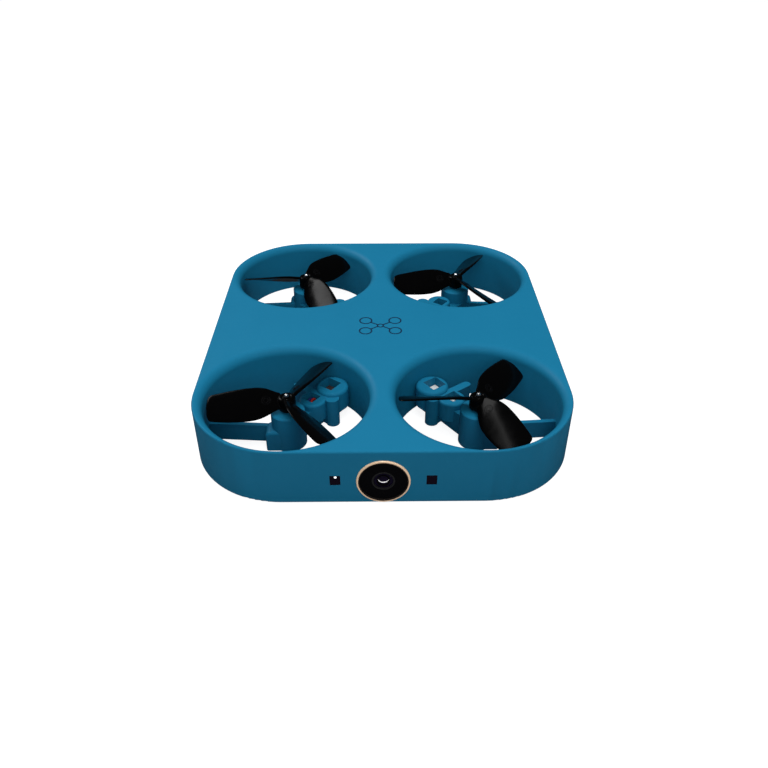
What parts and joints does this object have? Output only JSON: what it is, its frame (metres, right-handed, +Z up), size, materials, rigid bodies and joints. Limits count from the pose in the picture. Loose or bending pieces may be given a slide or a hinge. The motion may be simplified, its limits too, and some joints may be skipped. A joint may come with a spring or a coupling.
{
  "type": "palm drone",
  "caption": "Flat palm drone with a rounded square body, ducted three-blade rotors on bracketed motors, and a ringed camera in the front face.",
  "frame": {"origin": "centre of the flat underside", "axes": "+Z up, the camera faces -Y, +X to the right when looking at the camera face"},
  "size_m": [0.104, 0.1226, 0.017],
  "materials": {
    "shell_blue": "satin painted",
    "gold_trim": "brushed",
    "black_glass": "polished",
    "lens_glass": "coated",
    "dark_window": "polished",
    "black_plastic": "moulded",
    "propeller_black": "polished moulded",
    "shaft_steel": "ground",
    "screw_steel": "blackened",
    "motor_steel": "drawn",
    "magnet": "plated",
    "copper_coil": "lacquered winding",
    "white_plastic": "moulded",
    "wire": "silicone insulation",
    "circuit_board": "solder mask",
    "shield_metal": "tinned",
    "battery_wrap": "foil pouch",
    "foam": "open cell",
    "antenna_film": "polyimide film",
    "light_white": "diffusing",
    "button_blue": "smooth satin"
  },
  "bodies": {
    "airframe": {"top_shell": "shell_blue", "bottom_cover": "shell_blue", "case_screws": "screw_steel", "inner_screws": "screw_steel", "camera_trim_ring": "gold_trim", "camera_window": "black_glass", "camera_lens": "lens_glass", "camera_barrel": "black_plastic", "camera_module": "black_plastic", "camera_cable": "wire", "front_window_left": "dark_window", "front_window_right": "dark_window", "status_light": "light_white", "front_infrared_sensor": "black_plastic", "main_board": "circuit_board", "radio_shield": "shield_metal", "board_chips": "black_plastic", "battery_pack": "battery_wrap", "battery_foam": "foam", "battery_leads": "wire", "radio_antenna": "antenna_film", "usb_port": "shield_metal", "rear_board": "circuit_board", "button_switch": "black_plastic", "flow_camera": "black_glass", "range_sensor": "black_glass", "motor_mount_fl": "shell_blue", "motor_can_fl": "motor_steel", "motor_magnet_fl": "magnet", "motor_end_cap_fl": "white_plastic", "motor_leads_fl": "wire", "motor_mount_fr": "shell_blue", "motor_can_fr": "motor_steel", "motor_magnet_fr": "magnet", "motor_end_cap_fr": "white_plastic", "motor_leads_fr": "wire", "motor_mount_rl": "shell_blue", "motor_can_rl": "motor_steel", "motor_magnet_rl": "magnet", "motor_end_cap_rl": "white_plastic", "motor_leads_rl": "wire", "motor_mount_rr": "shell_blue", "motor_can_rr": "motor_steel", "motor_magnet_rr": "magnet", "motor_end_cap_rr": "white_plastic", "motor_leads_rr": "wire"},
    "power_key": {"power_button": "button_blue"},
    "rotor_fl": {"propeller_fl": "propeller_black", "motor_shaft_fl": "shaft_steel", "motor_coil_fl": "copper_coil"},
    "rotor_fr": {"propeller_fr": "propeller_black", "motor_shaft_fr": "shaft_steel", "motor_coil_fr": "copper_coil"},
    "rotor_rl": {"propeller_rl": "propeller_black", "motor_shaft_rl": "shaft_steel", "motor_coil_rl": "copper_coil"},
    "rotor_rr": {"propeller_rr": "propeller_black", "motor_shaft_rr": "shaft_steel", "motor_coil_rr": "copper_coil"}
  },
  "joints": [
    {"name": "power_button_press", "type": "slide", "parent": "airframe", "child": "power_key", "axis": [0, -1, 0], "range_m": [0, 0.0004]},
    {"name": "rotor_fl_spin", "type": "hinge", "parent": "airframe", "child": "rotor_fl", "pos_m": [-0.0264, -0.036, 0.012], "axis": [0, 0, -1], "continuous": true},
    {"name": "rotor_fr_spin", "type": "hinge", "parent": "airframe", "child": "rotor_fr", "pos_m": [0.0264, -0.036, 0.012], "axis": [0, 0, 1], "continuous": true},
    {"name": "rotor_rl_spin", "type": "hinge", "parent": "airframe", "child": "rotor_rl", "pos_m": [-0.0264, 0.036, 0.012], "axis": [0, 0, 1], "continuous": true},
    {"name": "rotor_rr_spin", "type": "hinge", "parent": "airframe", "child": "rotor_rr", "pos_m": [0.0264, 0.036, 0.012], "axis": [0, 0, -1], "continuous": true}
  ]
}
